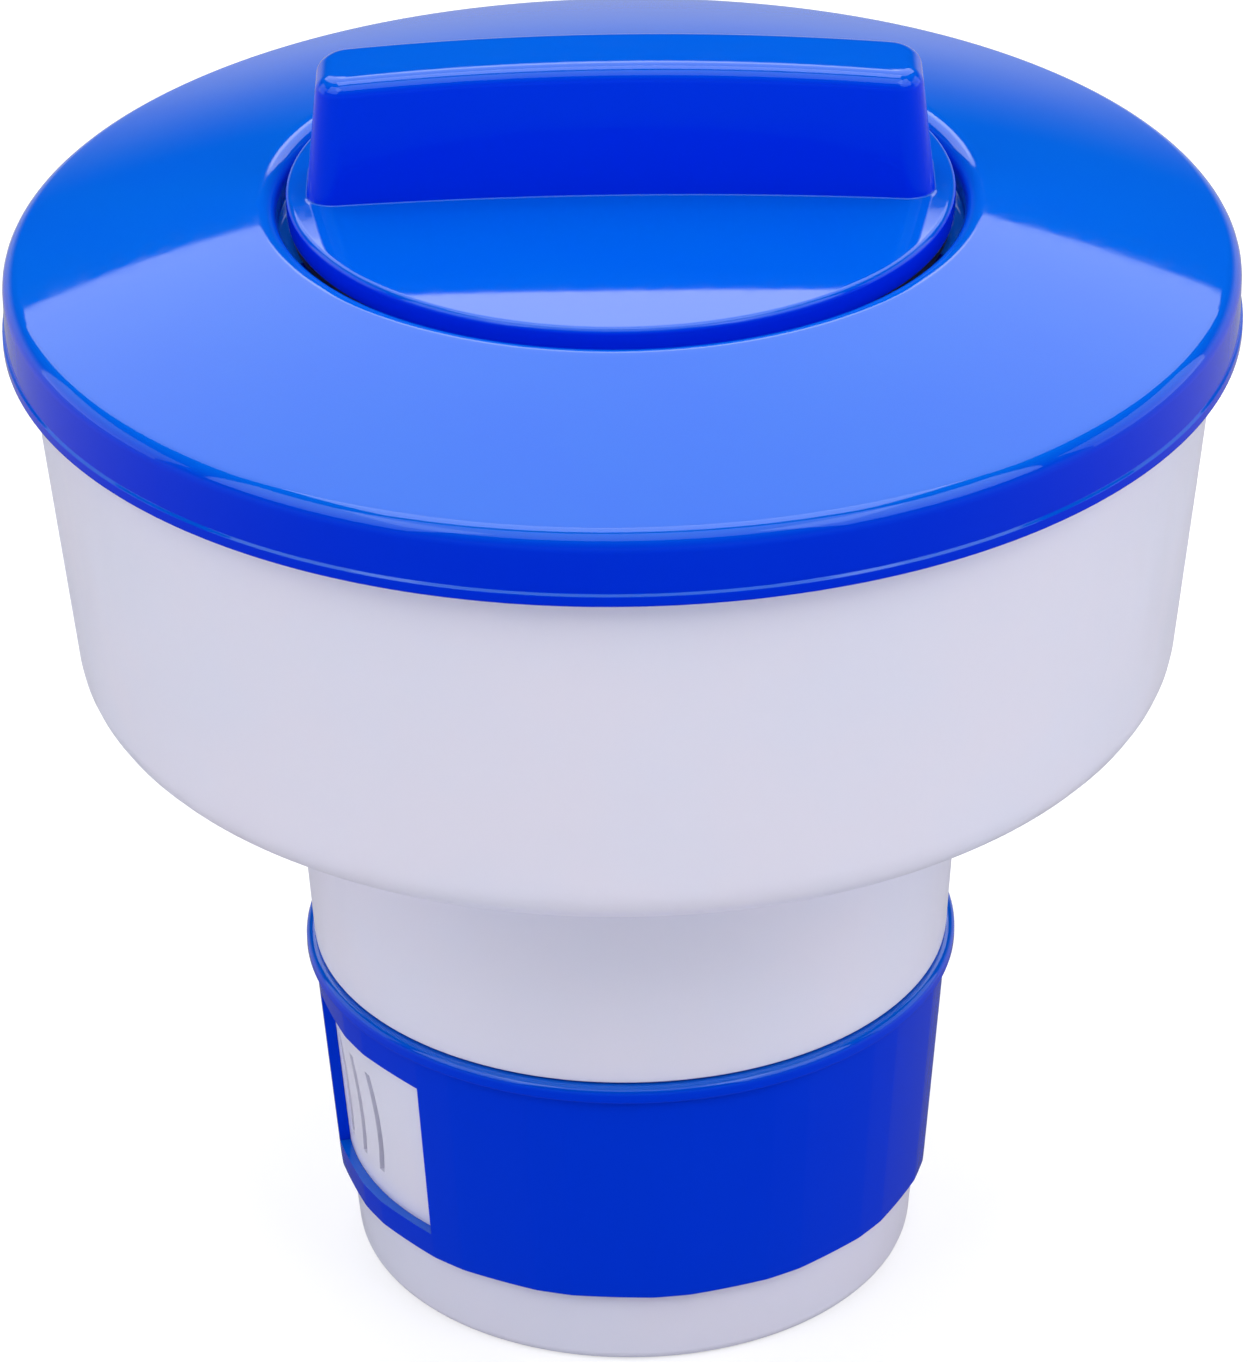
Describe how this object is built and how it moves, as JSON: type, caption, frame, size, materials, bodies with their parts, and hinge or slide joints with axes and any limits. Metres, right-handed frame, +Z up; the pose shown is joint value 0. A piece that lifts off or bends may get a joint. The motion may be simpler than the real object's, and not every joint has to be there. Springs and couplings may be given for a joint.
{
  "type": "floating chlorine dispenser",
  "caption": "Round pool float with a press-on domed cover, a twist-off cap with a grip bar, a tapered tablet canister below it and a turning ring that opens or closes the canister's slits.",
  "frame": {"origin": "centre of the canister's foot, on the surface it stands on", "axes": "+Z up along the dispenser's axis, +X along the cap's grip bar, -Y the front"},
  "size_m": [0.2032, 0.2032, 0.2234],
  "materials": {
    "white_plastic": "satin",
    "blue_plastic": "gloss",
    "foam": "matte",
    "seal_rubber": "satin"
  },
  "bodies": {
    "root": {"canister": "white_plastic", "float_bowl": "white_plastic", "float_cover": "blue_plastic", "foam_float": "foam", "rim_seal": "seal_rubber", "neck_seal": "seal_rubber"},
    "ring": {"control_ring": "blue_plastic"},
    "lifted_seal": {"cap_seal": "seal_rubber"},
    "cap": {"cap": "blue_plastic"}
  },
  "joints": [
    {"name": "ring_turn", "type": "hinge", "parent": "root", "child": "ring", "pos_m": [0, 0, 0.038], "axis": [0, 0, 1], "range_deg": [-13, 23]},
    {"name": "cap_lift", "type": "slide", "parent": "root", "child": "lifted_seal", "axis": [0, 0, 1], "range_m": [0, 0.06]},
    {"name": "cap_turn", "type": "hinge", "parent": "lifted_seal", "child": "cap", "pos_m": [0, 0, 0.195], "axis": [0, 0, 1], "range_deg": [-40, 0]}
  ]
}
